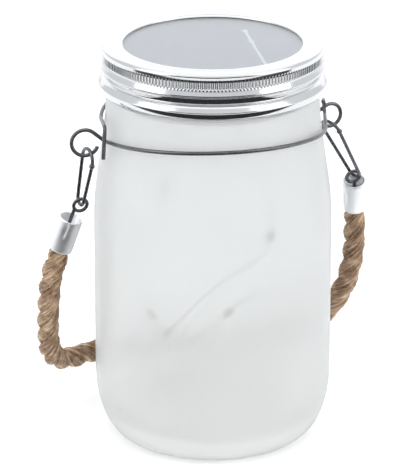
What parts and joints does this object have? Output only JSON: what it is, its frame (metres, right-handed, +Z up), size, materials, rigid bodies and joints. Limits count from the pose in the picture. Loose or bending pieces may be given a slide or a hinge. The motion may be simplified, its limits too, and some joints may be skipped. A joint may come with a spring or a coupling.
{
  "type": "mason jar lantern",
  "caption": "Frosted glass screw-lid jar lantern with a lamp insert in the lid, a wire light string inside and a rope handle on two wire snap links.",
  "frame": {"origin": "centre of the jar's base, on the surface it stands on", "axes": "+Z up through the lid; +X to the right and -Y towards the viewer, with the handle hanging round the back at +Y"},
  "size_m": [0.1116, 0.0913, 0.1357],
  "materials": {
    "frosted_glass": "acid-frosted, satin",
    "tinplate": "polished tinplate",
    "steel_wire": "bright drawn wire",
    "link_wire": "bright drawn wire",
    "ferrule_metal": "polished, lightly crimped",
    "jute": "twisted natural fibre",
    "window_plastic": "clear, polished",
    "cell_face": "pale satin film",
    "tab_metal": "tinned",
    "white_plastic": "moulded",
    "gasket_rubber": "soft, white",
    "battery_sleeve": "shrink sleeve",
    "spring_metal": "nickel plated",
    "board_green": "solder mask",
    "board_parts": "moulded",
    "switch_black": "moulded",
    "silver_wire": "fine, varnished",
    "bead_resin": "clear resin over the lamp",
    "screw_steel": "zinc plated"
  },
  "bodies": {
    "jar": {"glass_jar": "frosted_glass", "front_neck_wire": "steel_wire", "rear_neck_wire": "steel_wire"},
    "lid": {"rim_gasket": "gasket_rubber", "lid_tray": "white_plastic", "solar_cell": "cell_face", "tab_ribbon": "tab_metal", "window_lens": "window_plastic", "battery_cover": "white_plastic", "cover_screws": "screw_steel", "rechargeable_cell": "battery_sleeve", "contact_spring": "spring_metal", "contact_plates": "spring_metal", "circuit_board": "board_green", "board_parts": "board_parts", "switch_body": "switch_black", "wire_grommet": "gasket_rubber", "light_string": "silver_wire", "led_beads": "bead_resin"},
    "band": {"screw_band": "tinplate"},
    "switch": {"switch_slider": "switch_black"},
    "left_link": {"left_link": "link_wire"},
    "right_link": {"right_link": "link_wire"},
    "handle": {"rope": "jute", "left_ferrule": "ferrule_metal", "right_ferrule": "ferrule_metal", "left_ferrule_ring": "link_wire", "right_ferrule_ring": "link_wire"}
  },
  "joints": [
    {"name": "band_turn", "type": "hinge", "parent": "lid", "child": "band", "pos_m": [0, 0, 0.128], "axis": [0, 0, 1], "range_deg": [0, 450]},
    {"name": "lid_rise", "type": "slide", "parent": "jar", "child": "lid", "axis": [0, 0, 1], "range_m": [0, 0.0064]},
    {"name": "switch_slide", "type": "slide", "parent": "lid", "child": "switch", "axis": [1, 0, 0], "range_m": [0, 0.002]},
    {"name": "handle_swing", "type": "hinge", "parent": "jar", "child": "left_link", "pos_m": [-0.0406, -0.014, 0.10148], "axis": [0.9401, 0.3408, 0.0045], "range_deg": [0, 65]},
    {"name": "right_link_swing", "type": "hinge", "parent": "jar", "child": "right_link", "pos_m": [0.03896, 0.01485, 0.10186], "axis": [0.9401, 0.3408, 0.0045], "range_deg": [0, 65]},
    {"name": "rope_swing", "type": "hinge", "parent": "left_link", "child": "handle", "pos_m": [-0.0434, -0.01073, 0.08507], "axis": [0.947, 0.3212, -0.0103], "range_deg": [0, 55]}
  ],
  "couplings": [
    {"joint": "lid_rise", "follows": "band_turn", "m_per_rad": 0.0008085},
    {"joint": "right_link_swing", "follows": "handle_swing", "ratio": 1}
  ]
}
